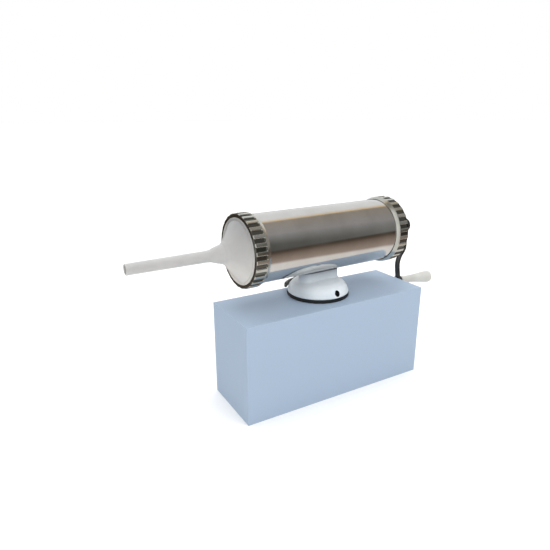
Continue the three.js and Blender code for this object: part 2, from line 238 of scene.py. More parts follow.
class Mat:
    def __init__(self, name):
        self.m = bpy.data.materials.new(name)
        self.m.use_nodes = True
        self.t = self.m.node_tree
        self.b = self.t.nodes["Principled BSDF"]
        self.co = self.t.nodes.new("ShaderNodeTexCoord").outputs["Object"]

    def n(self, kind, **kw):
        node = self.t.nodes.new(kind)
        for k, v in kw.items():
            setattr(node, k, v)
        return node

    def link(self, a, b):
        self.t.links.new(a, b)

    def mapping(self, scale=(1, 1, 1), loc=(0, 0, 0)):
        n = self.n("ShaderNodeMapping")
        n.inputs["Scale"].default_value = scale
        n.inputs["Location"].default_value = loc
        self.link(self.co, n.inputs["Vector"])
        return n.outputs["Vector"]

    def noise(self, scale, detail=3.0, rough=0.5, vec=None):
        n = self.n("ShaderNodeTexNoise")
        n.inputs["Scale"].default_value = scale
        n.inputs["Detail"].default_value = detail
        n.inputs["Roughness"].default_value = rough
        self.link(vec if vec is not None else self.co, n.inputs["Vector"])
        return n.outputs["Fac"]

    def ramp(self, fac, stops):
        n = self.n("ShaderNodeValToRGB")
        e = n.color_ramp.elements
        e[0].position, e[0].color = stops[0][0], stops[0][1]
        e[1].position, e[1].color = stops[-1][0], stops[-1][1]
        for p, c in stops[1:-1]:
            k = e.new(p)
            k.color = c
        self.link(fac, n.inputs["Fac"])
        return n.outputs["Color"]

    def range(self, fac, lo, hi, a=0.3, b=0.7):
        n = self.n("ShaderNodeMapRange")
        n.inputs["From Min"].default_value, n.inputs["From Max"].default_value = a, b
        n.inputs["To Min"].default_value, n.inputs["To Max"].default_value = lo, hi
        self.link(fac, n.inputs["Value"])
        return n.outputs["Result"]

    def bump(self, height, dist_mm, strength=1.0, prev=None):
        n = self.n("ShaderNodeBump")
        n.inputs["Distance"].default_value = dist_mm * MM
        n.inputs["Strength"].default_value = strength
        self.link(height, n.inputs["Height"])
        if prev is not None:
            self.link(prev, n.inputs["Normal"])
        return n.outputs["Normal"]

    def out(self, color=None, rough=None, normal=None, metal=0.0, **const):
        if color is not None:
            if isinstance(color, tuple):
                self.b.inputs["Base Color"].default_value = color
            else:
                self.link(color, self.b.inputs["Base Color"])
        if rough is not None:
            if isinstance(rough, float):
                self.b.inputs["Roughness"].default_value = rough
            else:
                self.link(rough, self.b.inputs["Roughness"])
        if normal is not None:
            self.link(normal, self.b.inputs["Normal"])
        self.b.inputs["Metallic"].default_value = metal
        for k, v in const.items():
            self.b.inputs[k.replace("_", " ")].default_value = v
        return self.m


def mat_stainless():
    m = Mat("polished_stainless")
    long = m.noise(1.0, 4, 0.6, m.mapping((25, 900, 900)))        # polish drawn along the barrel
    ring = m.noise(1.0, 3, 0.6, m.mapping((1500, 30, 30)))        # faint turning marks
    blot = m.noise(22, 3, 0.55)
    col = m.ramp(blot, [(0.3, srgb(0.80, 0.79, 0.775)), (0.7, srgb(0.86, 0.855, 0.845))])
    rough = m.range(blot, 0.085, 0.15)
    nb = m.bump(long, 0.010, 0.35)
    nb = m.bump(ring, 0.006, 0.30, nb)
    return m.out(col, rough, nb, 1.0)


def mat_nut(name, sign, limit):
    """Plated nut; the fluted part lies where sign * x is beyond limit (mm)."""
    m = Mat(name)
    fine = m.noise(900, 4, 0.6)
    blot = m.noise(60, 3, 0.5)
    col = m.ramp(blot, [(0.3, srgb(0.74, 0.745, 0.72)), (0.7, srgb(0.83, 0.83, 0.805))])
    # painted shade: the groove floors are darkened to stand for the shade that falls in the grooves, so the mask
    # follows the distance from the nut's own axis
    sep = m.n("ShaderNodeSeparateXYZ")
    m.link(m.mapping((1, 1, 1), (0, 0, -AZ * MM)), sep.inputs[0])
    yz = m.n("ShaderNodeCombineXYZ")
    m.link(sep.outputs["Y"], yz.inputs["Y"])
    m.link(sep.outputs["Z"], yz.inputs["Z"])
    ln = m.n("ShaderNodeVectorMath", operation="LENGTH")
    m.link(yz.outputs[0], ln.inputs[0])
    high = m.range(ln.outputs["Value"], 0.0, 1.0, 0.0459, 0.0470)
    skirt = m.range(sep.outputs["X"], 1.0, 0.0, sign * (limit - 0.5) * MM, sign * (limit + 0.5) * MM)
    keep = m.n("ShaderNodeMath", operation="MAXIMUM")
    m.link(high, keep.inputs[0])
    m.link(skirt, keep.inputs[1])
    mix = m.n("ShaderNodeMix", data_type="RGBA")
    m.link(keep.outputs[0], mix.inputs[0])
    # painted shade colour of the groove floors
    mix.inputs[6].default_value = srgb(0.42, 0.425, 0.40)
    m.link(col, mix.inputs[7])
    return m.out(mix.outputs[2], m.range(blot, 0.16, 0.28), m.bump(fine, 0.012, 0.5), 1.0)


def mat_spout():
    m = Mat("milky_polypropylene")
    cloud = m.noise(38, 4, 0.55)
    fine = m.noise(1600, 3, 0.6)
    flow = m.noise(1.0, 3, 0.5, m.mapping((18, 160, 160)))
    base = m.ramp(cloud, [(0.3, srgb(0.80, 0.80, 0.80)), (0.7, srgb(0.845, 0.845, 0.84))])
    # painted light: the cone is darker towards the top and lighter and warmer towards the bottom, standing for light
    # coming through the plastic
    sep = m.n("ShaderNodeSeparateXYZ")
    m.link(m.co, sep.inputs[0])
    painted_height_light = m.ramp(m.range(sep.outputs["Z"], 0.0, 1.0, 0.045, 0.112), [
        (0.0, (1.0, 0.97, 0.92, 1)), (0.5, (0.79, 0.785, 0.78, 1)), (1.0, (0.52, 0.52, 0.525, 1))])
    mul = m.n("ShaderNodeMix", data_type="RGBA", blend_type="MULTIPLY")
    mul.inputs[0].default_value = 1.0
    m.link(base, mul.inputs[6])
    m.link(painted_height_light, mul.inputs[7])
    col = mul.outputs[2]
    nb = m.bump(fine, 0.010, 0.5)
    nb = m.bump(flow, 0.03, 0.35, nb)
    return m.out(col, m.range(flow, 0.30, 0.44), nb, 0.0, Subsurface_Weight=0.35, Subsurface_Scale=0.004,
                 Subsurface_Radius=(1.0, 1.0, 0.95), Transmission_Weight=0.10, IOR=1.49,
                 Coat_Weight=0.45, Coat_Roughness=0.12)


def mat_cast():
    m = Mat("painted_casting")
    peel = m.noise(330, 3, 0.5)
    sand = m.noise(1200, 4, 0.65)
    blot = m.noise(30, 3, 0.5)
    col = m.ramp(blot, [(0.3, srgb(0.82, 0.855, 0.88)), (0.7, srgb(0.865, 0.895, 0.915))])
    # painted shade: the inside of the lever shaft's hole, within about 4 mm of its axis, is painted near black
    turn = m.n("ShaderNodeMapping", vector_type="TEXTURE")
    turn.inputs["Location"].default_value = (0, 0, 10.9 * MM)
    turn.inputs["Rotation"].default_value = (0, 0, rad(3.0))
    m.link(m.co, turn.inputs["Vector"])
    flat = m.n("ShaderNodeVectorMath", operation="MULTIPLY")
    flat.inputs[1].default_value = (1, 0, 1)
    m.link(turn.outputs[0], flat.inputs[0])
    ln = m.n("ShaderNodeVectorMath", operation="LENGTH")
    m.link(flat.outputs[0], ln.inputs[0])
    mix = m.n("ShaderNodeMix", data_type="RGBA")
    m.link(m.range(ln.outputs["Value"], 0.0, 1.0, 0.0039, 0.0041), mix.inputs[0])
    mix.inputs[6].default_value = srgb(0.10, 0.10, 0.10)
    # painted shade: the casting darkens towards the barrel and is near black along the seam line, standing for the
    # shade under the tube
    up = m.n("ShaderNodeVectorMath", operation="MULTIPLY")
    up.inputs[1].default_value = (0, 1, 1)
    m.link(m.mapping((1, 1, 1), (0, 0, -AZ * MM)), up.inputs[0])
    far_ = m.n("ShaderNodeVectorMath", operation="LENGTH")
    m.link(up.outputs[0], far_.inputs[0])
    seam = m.ramp(m.range(far_.outputs["Value"], 0.0, 1.0, 0.0443, 0.0563), [
        (0.0, (0.07, 0.07, 0.08, 1)), (0.07, (0.07, 0.07, 0.08, 1)), (0.13, (0.50, 0.51, 0.55, 1)), (0.45, (0.73, 0.74, 0.77, 1)),
        (1.0, (1, 1, 1, 1))])
    seam_shade = m.n("ShaderNodeMix", data_type="RGBA", blend_type="MULTIPLY")
    seam_shade.inputs[0].default_value = 1.0
    m.link(col, seam_shade.inputs[6])
    m.link(seam, seam_shade.inputs[7])
    m.link(seam_shade.outputs[2], mix.inputs[7])
    nb = m.bump(peel, 0.05, 0.45)
    nb = m.bump(sand, 0.015, 0.5, nb)
    return m.out(mix.outputs[2], m.range(peel, 0.26, 0.42), nb, 0.0, Coat_Weight=0.25, Coat_Roughness=0.18)


def mat_rubber(name="black_rubber", a=(0.045, 0.045, 0.047), b=(0.085, 0.085, 0.085)):
    m = Mat(name)
    fine = m.noise(1400, 4, 0.65)
    dust = m.noise(55, 4, 0.6)
    col = m.ramp(dust, [(0.35, srgb(*a)), (0.75, srgb(*b))])
    return m.out(col, m.range(dust, 0.5, 0.72), m.bump(fine, 0.02, 0.6), 0.0)


def mat_dark_steel():
    m = Mat("dark_crank_steel")
    forge = m.noise(170, 4, 0.6)
    draw = m.noise(1.0, 3, 0.6, m.mapping((700, 700, 30)))
    wear = m.noise(45, 4, 0.6)
    col = m.ramp(wear, [(0.32, srgb(0.25, 0.255, 0.255)), (0.72, srgb(0.37, 0.375, 0.37))])
    nb = m.bump(forge, 0.05, 0.5)
    nb = m.bump(draw, 0.015, 0.4, nb)
    return m.out(col, m.range(wear, 0.28, 0.46), nb, 0.9)


def mat_zinc(name="zinc_plated_steel", k=1.0):
    m = Mat(name)
    fine = m.noise(800, 4, 0.6)
    blot = m.noise(120, 3, 0.6)
    col = m.ramp(blot, [(0.3, srgb(0.60 * k, 0.60 * k, 0.585 * k)), (0.7, srgb(0.73 * k, 0.73 * k, 0.715 * k))])
    return m.out(col, m.range(blot, 0.22, 0.4), m.bump(fine, 0.012, 0.5), 1.0)


def mat_bronze():
    m = Mat("machined_bronze")
    ring = m.noise(1.0, 3, 0.6, m.mapping((1600, 40, 40)))
    blot = m.noise(90, 3, 0.5)
    col = m.ramp(blot, [(0.3, srgb(0.66, 0.52, 0.33)), (0.7, srgb(0.76, 0.62, 0.41))])
    return m.out(col, m.range(blot, 0.25, 0.38), m.bump(ring, 0.02, 0.5), 1.0)


def mat_plastic(name, lo, hi, r0=0.32, r1=0.46, sss=0.12):
    m = Mat(name)
    fine = m.noise(1500, 3, 0.6)
    cloud = m.noise(50, 3, 0.5)
    col = m.ramp(cloud, [(0.3, srgb(*lo)), (0.7, srgb(*hi))])
    return m.out(col, m.range(cloud, r0, r1), m.bump(fine, 0.014, 0.55), 0.0, Subsurface_Weight=sss,
                 Subsurface_Scale=0.0025)


M = dict(
    stainless=mat_stainless(), nut_alloy=mat_nut("plated_nut_front", -1, 108.8), spout_plastic=mat_spout(), cast_paint=mat_cast(),
    rubber=mat_rubber(), seal_rubber=mat_rubber("pale_silicone", (0.80, 0.77, 0.70), (0.87, 0.85, 0.79)),
    cover_plastic=mat_plastic("cover_polymer", (0.85, 0.845, 0.82), (0.895, 0.89, 0.87)),
    dark_steel=mat_dark_steel(), zinc_steel=mat_zinc(), bronze=mat_bronze(),
    # the lever's zinc is a darker copy of the zinc_steel look: painted shade
    rear_nut_alloy=mat_nut("plated_nut_rear", 1, 105.9), shaded_lever_zinc=mat_zinc("zinc_lever_painted_shade", 0.62),
    grip_plastic=mat_plastic("grip_polymer", (0.715, 0.715, 0.695), (0.765, 0.765, 0.745)),
)


def done(ob, body, slot, *nodes, look=None):
    ob.data.materials.clear()
    ob.data.materials.append(M[look or slot])
    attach(ob, body)
    if nodes:
        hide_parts(*nodes)
    return ob


# ------------------------------------------------------------------ barrel tube
def tri(p):
    """Rounded thread wave, 0 to 1, with period 1."""
    return 0.5 - 0.5 * np.cos(2 * math.pi * p)


def tube_shape(T, R, A):
    outer = R > 43.2
    f = np.clip((-104.2 - A) / 1.6, 0, 1) * np.clip((A + 115.6) / 0.9, 0, 1)
    g = np.clip((A - 101.4) / 1.6, 0, 1) * np.clip((112.7 - A) / 0.9, 0, 1)
    w = np.maximum(f, g)
    R = np.where(outer, R - w * 0.75 * (1 - tri(A / 3.5 - T / (2 * math.pi))), R)
    return R, A


prof = rounded([(42.3, -116.0), (44.0, -116.0), (44.0, 113.1), (42.3, 113.1)], 0.5, 4)
fine = []
for a, b in zip(prof, prof[1:] + prof[:1]):
    if a[0] > 43.3 and b[0] > 43.3 and abs(b[1] - a[1]) > 50:
        for x in list(np.arange(-115.5, -103.0, 0.25)) + list(np.arange(-102.0, 100.0, 8.0)) + list(np.arange(101.0, 112.7, 0.25)):
            fine.append(np.array([44.0, x]))
    else:
        fine.append(a)
tube = revolve("barrel_tube_skin", fine, 224, shape=tube_shape, sharp=50)
for i, (x, y) in enumerate([(20, 6), (20, -6), (-20, 6), (-20, -6)]):
    hole = revolve("h", [(0, 30), (2.5, 30), (2.5, 34.8), (5.4, 38.2), (5.4, 40), (0, 40)], 32, "z", (x, y, 0), closed=False)
    cut(tube, [hole])
shade(tube, 45)
done(tube, "stand", "stainless", "barrel_tube")


# ------------------------------------------------------------------ ring nuts
NUT_L, FL_N = 21.0, 28


def nut(name, flip):
    """Outer face at a = 0, open end at a = 21; fluted grip, plain rim, chamfered skirt, thread inside."""
    bore = [(44.3, a) for a in np.arange(20.6, 3.2, -0.35)]
    pts = rounded([(42.6, 0), (46.7, 0), (47.4, 0.9), (47.4, 15.8), (44.95, 21.0), (44.35, 21.0)], 0.45, 3, closed=False)
    pts = [np.array(p, float) for p in pts] + [np.array(p) for p in bore]
    pts += rounded([(44.3, 3.2), (44.3, 3.0), (42.6, 3.0)], 0.2, 2, closed=False)[1:]
    body = []
    for a, b in zip(pts, pts[1:] + pts[:1]):
        body.append(a)
        if a[0] > 46.6 and b[0] > 46.6 and abs(b[1] - a[1]) > 2:
            for x in np.arange(min(a[1], b[1]) + 0.35, max(a[1], b[1]) - 0.2, 0.35):
                body.append(np.array([47.4, x]))

    def shape(T, R, A):
        ph = (np.degrees(T) - 24.0) / (360.0 / FL_N)
        if flip:
            ph = (np.degrees(T) + 24.0) / (360.0 / FL_N)
        d = np.abs(ph - np.round(ph)) * 2 * math.pi * 47.4 / FL_N       # distance from the groove's middle
        end = np.clip(A - (15.2 - 2.0), 0, None)
        q = (np.abs(d / 3.0) ** 4 + np.abs(end / 2.0) ** 4) ** (1 / 4)     # squarish slot with eased corners
        depth = 1.65 * np.clip((1.08 - q) / 0.28, 0, 1)
        depth = 1.65 * (lambda u: u * u * (3 - 2 * u))(depth / 1.65)
        on = R > 46.3
        R = np.where(on, R - depth, R)
        inner = (R < 44.6) & (R > 43.5) & (A > 3.1) & (A < 20.8)
        R = np.where(inner, R + 0.0 + 0.35 * tri(A / 3.5 + T / (2 * math.pi)), R)
        return R, A

    ob = revolve(name, body, FL_N * 26, centre=(0, 0, 0), shape=shape, sharp=60)
    if flip:
        place(ob, Matrix.Rotation(math.pi, 4, "Z"))
        place(ob, Matrix.Translation((0.1214, 0, AZ * MM)))
    else:
        place(ob, Matrix.Translation((-0.1243, 0, AZ * MM)))
    return ob


done(nut("front_ring_nut_skin", False), "front_nut", "nut_alloy", "front_ring_nut")
done(nut("rear_ring_nut_skin", True), "rear_nut", "nut_alloy", "rear_ring_nut", look="rear_nut_alloy")

# ------------------------------------------------------------------ funnel
fun = rounded([
    (39.5, -118.0), (44.0, -118.0), (44.0, -121.0), (42.2, -121.0), (42.2, -124.2), (41.9, -124.9), (39.6, -125.1),
    (38.6, -124.5), (37.2, -125.6), (26.0, -134.2), (15.5, -142.0), (12.2, -146.2), (11.0, -151.5), (9.4, -156.8), (7.75, -161.5),
    (7.1, -166.5), (6.55, -259.0), (6.65, -261.0), (6.5, -263.0), (5.2, -263.0), (5.4, -210.0), (5.6, -166.0),
    (6.1, -161.8), (7.7, -157.0), (9.3, -151.8), (10.5, -146.6), (13.6, -141.3), (25.5, -131.6), (37.5, -122.3)], 0.9, 5)
done(revolve("stuffing_funnel_skin", dense(fun, 4.0), 144, sharp=50), "front_unit", "spout_plastic", "stuffing_funnel")
for name, x, body in (("front_gasket_skin", -117.7, "front_unit"), ("rear_gasket_skin", 113.4, "rear_unit")):
    g = rounded([(41.5, x), (43.9, x), (43.9, x + 1.4), (41.5, x + 1.4)], 0.45, 4)
    done(revolve(name, g, 128), body, "seal_rubber", name.replace("_skin", ""))

# ------------------------------------------------------------------ rear cover and bush
cov = dense(rounded([
    (39.5, 115.1), (44.0, 115.1), (44.0, 118.1), (42.2, 118.1), (42.2, 121.8), (41.0, 122.6), (17.5, 133.0), (14.0, 136.5),
    (14.0, 147.0), (13.0, 148.0), (11.0, 148.0), (11.0, 129.5), (15.0, 129.5), (38.0, 119.0)], 0.7, 4), 1.2)


def ribs(T, R, A):
    cone = (A > 121.9) & (R > 14.2) & (R < 41.2) & (A - (122.6 + (41.0 - R) * 0.4426) > -0.9)
    d = np.abs((T * 8 / (2 * math.pi)) - np.round(T * 8 / (2 * math.pi))) * 2 * math.pi / 8 * R
    w = np.clip(1.35 - d, 0, 0.45) / 0.45
    fade = np.clip((R - 14.3) / 1.5, 0, 1) * np.clip((40.8 - R) / 1.5, 0, 1)
    h = w * fade * (1.2 + 2.3 * np.clip((30 - R) / 16, 0, 1))
    return R, np.where(cone, A + h, A)


done(revolve("rear_cover_skin", cov, 480, shape=ribs, sharp=40), "rear_unit", "cover_plastic", "rear_cover")


def bush_shape(T, R, A):
    bore = R < 8.6
    return np.where(bore, R + 0.45 * tri(A / 6 - T / (2 * math.pi)), R), A


bush = dense(rounded([(8.35, 125.7), (14.2, 125.7), (14.2, 129.2), (10.7, 129.2), (10.7, 148.3), (8.35, 148.3)], 0.35, 3), 0.5)
done(revolve("spindle_bush_skin", bush, 96, shape=bush_shape, sharp=50), "rear_unit", "bronze", "spindle_bush")

# ------------------------------------------------------------------ piston
pis = rounded([
    (5.3, -104.0), (41.0, -104.0), (41.0, -100.0), (38.2, -100.0), (38.2, -96.0), (41.0, -96.0), (41.0, -90.0),
    (36.0, -89.2), (16.0, -88.5), (14.0, -86.5), (14.0, -80.0), (5.3, -80.0)], 0.6, 4)
done(revolve("piston_skin", pis, 160), "piston_unit", "cover_plastic", "piston")
seal = [(40.1 + 1.75 * math.cos(t), -98.0 + 1.75 * math.sin(t)) for t in np.linspace(0, 2 * math.pi, 20, endpoint=False)]
done(revolve("piston_seal_skin", seal, 160), "piston_unit", "seal_rubber", "piston_seal")
done(revolve("piston_washer_skin", rounded([(3.4, -106.1), (10, -106.1), (10, -104.4), (3.4, -104.4)], 0.3), 64),
     "crank", "zinc_steel", "piston_washer")


def hexagon(r, n=6, phase=0.0):
    return [(r * math.cos(2 * math.pi * k / n + phase), r * math.sin(2 * math.pi * k / n + phase)) for k in range(n)]


TO_X = Matrix.Rotation(-math.pi / 2, 4, "Z")         # prism depth +Y becomes +X
head = place(bevelled("s", hexagon(6.0), 3.9, 0.35), TO_X)
place(head, Matrix.Translation((-0.1104, 0, AZ * MM)))
done(join("piston_screw_skin", [head, cyl("t", 3.0, -107.5, -90.6)]), "crank", "zinc_steel", "piston_screw")


# ------------------------------------------------------------------ spindle
def thread(T, R, A):
    """Trapezoidal thread, pitch 6, major radius 8, root radius 6.2."""
    on = (R > 7.5) & (R < 8.2) & (A > -76.0) & (A < 147.9)
    p = (A / 6 - T / (2 * math.pi)) % 1.0
    h = np.clip((0.5 - np.abs(p - 0.5) * 1.0 - 0.14) / 0.12, 0, 1)
    fade = np.clip((A + 76.0) / 5, 0, 1) * np.clip((147.9 - A) / 4, 0, 1)
    return np.where(on, 8.0 - 1.8 * (1 - h) * fade, R), A


sp = [(0, -90), (3.3, -90), (3.3, -104.0), (5.0, -104.0), (5.0, -79.7), (7.4, -79.7), (8.0, -79.1)]
sp += [(8.0, a) for a in np.arange(-77.5, 148.3, 0.3)]
sp += [(8.0, 148.9), (9.2, 149.0), (9.5, 149.4), (9.5, 157.7), (9.1, 158.1), (5.5, 158.1), (5.5, 165.1), (5.2, 165.3), (4.0, 165.3),
       (4.0, 167.7), (3.7, 168.0), (0, 168.0)]
done(revolve("spindle_skin", sp, 56, closed=False, shape=thread, sharp=50), "crank", "zinc_steel", "spindle")

# ------------------------------------------------------------------ crank arm
GP = np.array([157.3, 0, -9.8])
TILT = Matrix.Rotation(rad(4.6), 4, "Y")


def tilted(ob):
    place(ob, TILT)
    place(ob, Matrix.Translation(Vector(GP) * MM))
    return ob


def catmull(pts, k=14):
    p = [np.array(q, float) for q in pts]
    p = [2 * p[0] - p[1]] + p + [2 * p[-1] - p[-2]]
    out = []
    for i in range(1, len(p) - 2):
        for j in range(k):
            t = j / k
            a, b, c, d = p[i - 1:i + 3]
            out.append(0.5 * (2 * b + (c - a) * t + (2 * a - 5 * b + 4 * c - d) * t * t + (3 * b - a - 3 * c + d) * t ** 3))
    out.append(p[-2])
    return out


path = catmull([(161.0, AZ - 2), (163.8, AZ - 16), (165.2, AZ - 31), (163.5, AZ - 39.5), (157.6, AZ - 47.5), (154.3, AZ - 56),
                (153.9, AZ - 64.5), (155.8, AZ - 78), (157.2, AZ - 85.5)])
V, F, NS = [], [], 28
for i, p in enumerate(path):
    d = path[min(i + 1, len(path) - 1)] - path[max(i - 1, 0)]
    d = d / np.linalg.norm(d)
    nrm = np.array([-d[1], d[0]])
    for k in range(NS):
        t = 2 * math.pi * k / NS
        x, z = p[0] + nrm[0] * 3.8 * math.cos(t), p[1] + nrm[1] * 3.8 * math.cos(t)
        drop = AZ - z                                # the rod stays inside the eye's faces, then swells out below it
        if drop < 16:
            x = min(x, 164.7 + max(0.0, drop - 8.5) * 0.6)
        if drop < 10.5:
            x = max(x, 158.8)
        V.append((x, 3.8 * math.sin(t), z))
for i in range(len(path) - 1):
    for k in range(NS):
        F.append((i * NS + k, i * NS + (k + 1) % NS, (i + 1) * NS + (k + 1) % NS, (i + 1) * NS + k))
F += [tuple(range(NS - 1, -1, -1)), tuple(range((len(path) - 1) * NS, len(path) * NS))]
rod = make("rod", V, F)
eye = revolve("e", rounded([(0, 158.5), (10, 158.5), (10, 165.0), (0, 165.0)], 1.3, 4, closed=False), 64, closed=False)
eye2 = tilted(revolve("e2", rounded([(0, -4), (7, -4), (7, 4), (0, 4)], 1.2, 4, closed=False), 56, centre=(0, 0, 0), closed=False))
arm = join("crank_arm_skin", [rod, eye, eye2])
remesh(arm, 0.43)
relax(arm, 7)
cut(arm, [cyl("b", 5.8, 150, 175, 56), tilted(cyl("b2", 3.3, -12, 12, 48, centre=(0, 0, 0)))])
shade(arm, 42)
done(arm, "crank", "dark_steel", "crank_arm")

hexn = place(bevelled("n", hexagon(6.6), 2.6, 0.4), TO_X)
place(hexn, Matrix.Translation((0.1656, 0, AZ * MM)))
dome = revolve("d", [(0, 167.0), (5.4, 167.0), (5.4, 168.1), (5.1, 168.7), (4.4, 169.2), (3.2, 169.6), (1.6, 169.8), (0, 169.8)],
               48, closed=False)
acorn = join("crank_nut_skin", [hexn, dome])
cut(acorn, [cyl("b", 4.3, 163, 168.4, 40)])
shade(acorn, 38)
done(acorn, "crank", "zinc_steel", "crank_nut")

# ------------------------------------------------------------------ grip
gp = [(3.4, 4.6), (5.2, 4.6), (5.9, 5.2), (6.2, 6.2), (6.2, 8.4), (6.0, 9.2), (5.65, 10.0), (5.5, 12), (5.5, 16), (5.6, 20), (5.8, 25),
      (6.15, 30.5), (6.7, 37), (7.4, 45), (8.1, 51.5), (8.75, 57.5), (9.2, 62.5), (9.35, 65.5), (9.2, 67.3), (8.6, 68.4), (7.6, 68.95),
      (6.6, 69.0), (5.9, 68.8), (5.7, 68.3), (5.7, 61.9), (3.4, 61.9)]


def parting(T, R, A):
    """A faint mould line on each side."""
    d = np.minimum(np.abs((T % math.pi) - math.pi / 2), math.pi) * R
    return np.where((R > 5.2) & (A < 68.5) & (A > 6), R + 0.10 * np.exp(-(d / 0.28) ** 2), R), A


done(tilted(revolve("grip_skin", dense(gp, 1.5), 192, centre=(0, 0, 0), shape=parting, sharp=45)), "grip_body", "grip_plastic", "grip")
axle = revolve("grip_axle_skin", rounded([(0, -8.2), (4.6, -8.2), (5.8, -7.1), (5.8, -5.3), (3, -5.3), (3, 66.5), (0, 66.5)],
                                         0.35, 3, closed=False), 56, centre=(0, 0, 0), closed=False)
slot_cut = bevelled("sl", [(-0.6, -7), (0.6, -7), (0.6, 7), (-0.6, 7)], 14, 0)
place(slot_cut, Matrix.Translation((-0.0085, -0.007, 0)))
cut(axle, [slot_cut])
shade(axle, 40)
done(tilted(axle), "crank", "zinc_steel", "grip_axle")
gnut = place(bevelled("grip_nut_skin", hexagon(5.0), 4.0, 0.3), TO_X)
place(gnut, Matrix.Translation((0.0623, 0, 0)))
cut(gnut, [cyl("b", 3.3, 60, 70, 40, centre=(0, 0, 0))])
shade(gnut, 38)
done(tilted(gnut), "crank", "zinc_steel", "grip_nut")

# ------------------------------------------------------------------ foot casting
SZ = 10.9
TURN = Matrix.Rotation(rad(3.0), 4, "Z")


def rod_y(name, r, y0, y1, segs=40, z=SZ, x=0.0):
    ob = cyl(name, r, y0, y1, segs, centre=(0, 0, 0))
    place(ob, Matrix.Rotation(math.pi / 2, 4, "Z"))
    place(ob, Matrix.Translation((x * MM, 0, z * MM)))
    return place(ob, TURN)


shell = revolve("shell", rounded([
    (0, 4.7), (42.4, 4.7), (42.7, 5.4), (42.7, 6.9), (42.2, 7.8), (41.6, 9.2), (40.2, 12.8), (36.4, 17.4), (30.6, 21.0), (22.0, 23.2),
    (0, 24.0)], 0.8, 4, closed=False), 144, "z", (0, 0, 0), closed=False)
levels = [(14.5, 32.5, 22), (17, 31.6, 19.0), (19.5, 30.9, 16.6), (22, 30.4, 15.0), (25, 30.1, 13.9), (28, 30, 13.5), (46, 30, 13.5)]
V, F, NW = [], [], 72
for z, hl, hw in levels:
    for k in range(NW):
        t = 2 * math.pi * k / NW
        x, y = 13.5 * math.cos(t), 13.5 * math.sin(t)
        x += 16.5 if math.cos(t) > 0 else -16.5
        V.append((x * hl / 30, y * hw / 13.5, z))
for i in range(len(levels) - 1):
    for k in range(NW):
        F.append((i * NW + k, i * NW + (k + 1) % NW, (i + 1) * NW + (k + 1) % NW, (i + 1) * NW + k))
F += [tuple(range(NW - 1, -1, -1)), tuple(range((len(levels) - 1) * NW, len(levels) * NW))]
foot = join("foot_casting_skin", [shell, make("web", V, F)])
remesh(foot, 0.62)
relax(foot, 12, lambda p: np.clip((p[:, 2] - 12) / 5, 0.12, 1))
saddle = cyl("sd", 44.3, -80, 80, 160)
cut(foot, [saddle])
hollow = revolve("hl", [(0, 2), (38.4, 2), (38.2, 8), (36.2, 11.5), (32.2, 15), (26.2, 18.0), (18, 19.5), (0, 20)], 96, "z",
                 (0, 0, 0), closed=False)
cut(hollow, [rod_y("b1", 6.0, -50, -25), rod_y("b2", 6.0, 25, 50)])
cut(foot, [hollow, rod_y("sh", 3.85, -60, 60)])
for x, y in [(20, 6), (20, -6), (-20, 6), (-20, -6)]:
    cut(foot, [cyl("rv", 2.5, 26, 50, 32, "z", (x, y, 0))])
shade(foot, 48)
done(foot, "stand", "cast_paint", "foot_casting")

for i, (x, y) in enumerate([(20, 6), (20, -6), (-20, 6), (-20, -6)], 1):
    rv = revolve(f"saddle_rivet_{i}_skin", rounded([(0, 26.4), (2.2, 26.4), (2.2, 35.2), (4.6, 37.6), (0, 37.6)], 0.25, 2, closed=False),
                 40, "z", (x, y, 0), closed=False)
    cut(rv, [cyl("bb", 42.6, -60, 60, 200)])
    shade(rv, 40)
    done(rv, "stand", "zinc_steel", f"saddle_rivet_{i}")

# ------------------------------------------------------------------ suction cup, plate, stud
cup = rounded([(0, 0), (42.6, 0), (43.2, 0.5), (43.2, 3.5), (42.6, 4.3), (9.6, 4.3), (9.6, 2.0), (0, 2.0)], 0.4, 4, closed=False)
cup = dense(cup, 1.0, closed=False)


def cup_lips(T, R, A):
    """Fine concentric sealing ridges under the rim."""
    low = (A < 0.02) & (R > 30) & (R < 42.3)
    A = np.where(low, 0.12 * (1 - np.cos((R - 30) * 2 * math.pi / 2.46)), A)
    return R, A


done(revolve("suction_cup_skin", cup, 160, "z", (0, 0, 0), closed=False, shape=cup_lips, sharp=50), "stand", "rubber", "suction_cup")
plate = revolve("cup_plate_skin", rounded([(2.4, 2.3), (9.0, 2.3), (9.0, 3.8), (2.4, 3.8)], 0.3), 64, "z", (0, 0, 0))
done(place(plate, TURN), "cup_lifter", "zinc_steel", "cup_plate")
CAM_E = 1.4
cx, cz = -CAM_E * math.sin(rad(35)), SZ - CAM_E * math.cos(rad(35))
stem = revolve("st", [(0, 2.5), (2.0, 2.5), (2.0, 4.1), (3.8, 4.1), (3.8, 6.5), (0, 6.5)], 40, "z", (0, 0, 0), closed=False)
yoke = bevelled("yk", [(-6.6, 5.2), (4.6, 5.2), (4.6, cz + 5.2), (-6.6, cz + 5.2)], 6.8, 0.8, 3)
place(yoke, Matrix.Translation((0, -0.0034, 0)))
win = bevelled("wn", [(-3.95, cz - 2.55), (1.75, cz - 2.55), (1.75, cz + 2.55), (-3.95, cz + 2.55)], 14, 0)
place(win, Matrix.Translation((0, -0.007, 0)))
stud = join("cup_stud_skin", [stem, yoke])
cut(stud, [win])
shade(stud, 38)
done(place(stud, TURN), "cup_lifter", "zinc_steel", "cup_stud")


# ------------------------------------------------------------------ lever shaft, lever, pin, clip
def ycyl(name, prof_, segs=44, x=0.0, z=SZ):
    ob = revolve(name, prof_, segs, centre=(0, 0, 0), closed=False)
    place(ob, Matrix.Rotation(math.pi / 2, 4, "Z"))
    return place(ob, Matrix.Translation((x * MM, 0, z * MM)))


